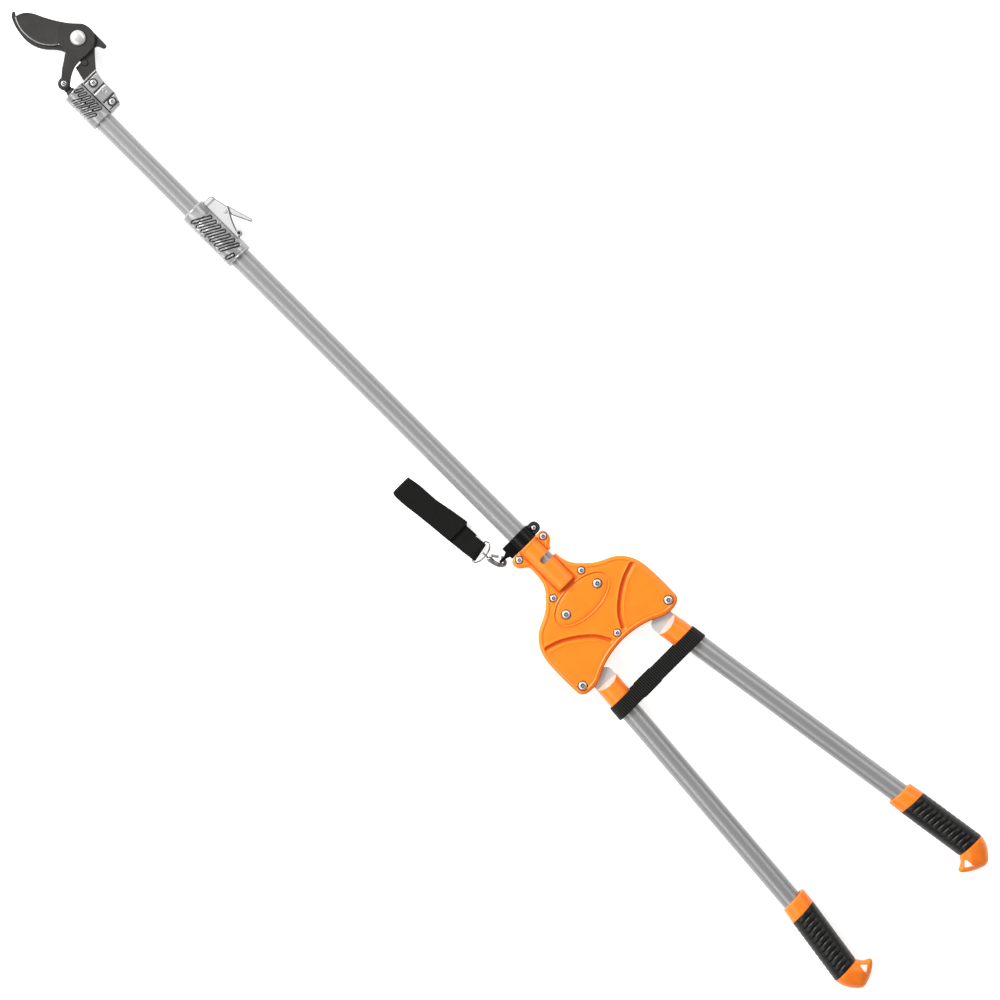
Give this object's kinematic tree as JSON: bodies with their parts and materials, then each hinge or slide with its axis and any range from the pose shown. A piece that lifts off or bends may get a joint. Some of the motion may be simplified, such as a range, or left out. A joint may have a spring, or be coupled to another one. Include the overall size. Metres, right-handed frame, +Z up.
{
  "type": "telescoping pole lopper",
  "caption": "Long-reach bypass lopper: hooked blades on a telescoping pole, worked by two levers with ribbed grips through a rack-and-pinion case, with a wrist strap.",
  "frame": {"origin": "centre of the underside of the whole tool's box, on the surface that the tool lies on", "axes": "+X along the pole towards the cutting head, +Z up out of the front cover, +Y to the wrist strap's side"},
  "size_m": [1.6144, 0.2572, 0.0366],
  "materials": {
    "orange_plastic": "satin moulded plastic",
    "black_plastic": "satin moulded plastic",
    "grip_rubber": "ribbed, matt",
    "black_webbing": "woven webbing",
    "pole_aluminium": "anodised, satin",
    "cast_aluminium": "die cast, polished",
    "pale_aluminium": "brushed plate",
    "coated_steel": "dark non-stick coating",
    "bright_steel": "bright zinc plate",
    "gear_steel": "machined",
    "brass": "turned"
  },
  "bodies": {
    "case": {"front_cover": "orange_plastic", "rear_cover": "orange_plastic", "pivot_bolt_right": "bright_steel", "pivot_bolt_left": "bright_steel", "pinion_bolt_right": "bright_steel", "pinion_bolt_left": "bright_steel", "case_screw_right": "bright_steel", "case_screw_left": "bright_steel", "case_screw_rear": "bright_steel", "neck_screw_right": "bright_steel", "neck_screw_left": "bright_steel", "lower_pole_tube": "pole_aluminium", "clamp_sleeve": "cast_aluminium", "clamp_bracket": "pale_aluminium", "clamp_screw": "bright_steel", "clamp_pin": "bright_steel", "clamp_pad": "black_plastic", "strap_collar": "black_plastic", "strap_collar_screw": "bright_steel", "handle_band_right": "black_webbing", "handle_band_left": "black_webbing"},
    "right_handle": {"lever_right": "pale_aluminium", "ferrule_right": "orange_plastic", "handle_tube_right": "pole_aluminium", "grip_collar_right": "orange_plastic", "grip_right": "grip_rubber", "end_cap_right": "orange_plastic"},
    "left_handle": {"lever_left": "pale_aluminium", "ferrule_left": "orange_plastic", "handle_tube_left": "pole_aluminium", "grip_collar_left": "orange_plastic", "grip_left": "grip_rubber", "end_cap_left": "orange_plastic"},
    "right_pinion": {"pinion_right": "gear_steel"},
    "left_pinion": {"pinion_left": "gear_steel"},
    "drive_tube": {"drive_rack": "gear_steel", "lower_drive_tube": "pole_aluminium", "drive_coupler": "brass"},
    "upper_pole": {"upper_pole_tube": "pole_aluminium", "upper_pole_bush": "black_plastic", "head_holder_front": "cast_aluminium", "head_holder_rear": "cast_aluminium", "holder_screw_rear": "bright_steel", "holder_screw_front": "bright_steel", "hook_blade": "coated_steel", "blade_pivot_bolt": "bright_steel", "blade_pivot_nut": "bright_steel"},
    "drive_rod": {"upper_drive_rod": "pole_aluminium"},
    "blade": {"cutting_blade": "coated_steel", "arm_screw": "bright_steel", "arm_nut": "bright_steel"},
    "link": {"push_link": "cast_aluminium"},
    "clamp_handle": {"clamp_lever": "pale_aluminium"},
    "snap": {"snap_hook": "bright_steel"},
    "snap_gate": {"snap_hook_gate": "bright_steel"},
    "strap": {"d_ring": "bright_steel", "wrist_strap": "black_webbing"},
    "swivel": {"swivel_eye": "bright_steel"}
  },
  "joints": [
    {"name": "right_handle_spread", "type": "hinge", "parent": "case", "child": "right_handle", "pos_m": [-0.29235, -0.06027, 0.0183], "axis": [0, 0, 1], "range_deg": [0, 30], "deforming": ["handle_band_right", "handle_band_left"]},
    {"name": "left_handle_spread", "type": "hinge", "parent": "case", "child": "left_handle", "pos_m": [-0.29235, 0.09107, 0.0183], "axis": [0, 0, 1], "range_deg": [-30, 0]},
    {"name": "right_pinion_turn", "type": "hinge", "parent": "case", "child": "right_pinion", "pos_m": [-0.21485, -0.0121, 0.0183], "axis": [0, 0, 1], "range_deg": [-107, 0]},
    {"name": "left_pinion_turn", "type": "hinge", "parent": "case", "child": "left_pinion", "pos_m": [-0.21485, 0.0429, 0.0183], "axis": [0, 0, 1], "range_deg": [0, 107]},
    {"name": "drive_tube_slide", "type": "slide", "parent": "case", "child": "drive_tube", "axis": [1, 0, 0], "range_m": [0, 0.0374]},
    {"name": "pole_extend", "type": "slide", "parent": "case", "child": "upper_pole", "axis": [1, 0, 0], "range_m": [0, 0.42]},
    {"name": "drive_rod_slide", "type": "slide", "parent": "upper_pole", "child": "drive_rod", "axis": [1, 0, 0], "range_m": [0, 0.0374]},
    {"name": "blade_open", "type": "hinge", "parent": "upper_pole", "child": "blade", "pos_m": [0.7257, -0.0352, 0.0183], "axis": [0, 0, 1], "range_deg": [-36.9, 0]},
    {"name": "link_swing", "type": "hinge", "parent": "blade", "child": "link", "pos_m": [0.6977, 0.0176, 0.0183], "axis": [0, 0, 1], "range_deg": [0, 42.9]},
    {"name": "clamp_lever_turn", "type": "hinge", "parent": "case", "child": "clamp_handle", "pos_m": [0.4414, -0.0121, 0.0183], "axis": [0, 0, 1], "range_deg": [0, 100]},
    {"name": "snap_hook_swing", "type": "hinge", "parent": "case", "child": "snap", "pos_m": [-0.1106, 0.0504, 0.0183], "axis": [0, 0, 1], "range_deg": [0, 20]},
    {"name": "snap_gate_open", "type": "hinge", "parent": "snap", "child": "snap_gate", "pos_m": [-0.0984, 0.056, 0.0183], "axis": [0, 0, 1], "range_deg": [-20, 0], "stiffness_Nm_per_rad": 0.02, "springref_deg": 17.19},
    {"name": "swivel_turn", "type": "hinge", "parent": "snap", "child": "swivel", "pos_m": [-0.0914, 0.0618, 0.0183], "axis": [1, 0, 0], "range_deg": [-45, 45]},
    {"name": "strap_swing", "type": "hinge", "parent": "swivel", "child": "strap", "pos_m": [-0.0914, 0.0618, 0.0183], "axis": [0, 0, 1], "range_deg": [0, 30]}
  ],
  "couplings": [
    {"joint": "left_handle_spread", "follows": "right_handle_spread", "ratio": -1},
    {"joint": "right_pinion_turn", "follows": "right_handle_spread", "ratio": -3.5625},
    {"joint": "left_pinion_turn", "follows": "right_handle_spread", "ratio": 3.5625},
    {"joint": "drive_tube_slide", "follows": "right_handle_spread", "m_per_rad": 0.07125},
    {"joint": "drive_rod_slide", "follows": "right_handle_spread", "m_per_rad": 0.07125},
    {"joint": "blade_open", "follows": "right_handle_spread", "ratio": -1.2267},
    {"joint": "link_swing", "follows": "right_handle_spread", "ratio": 1.4267}
  ]
}
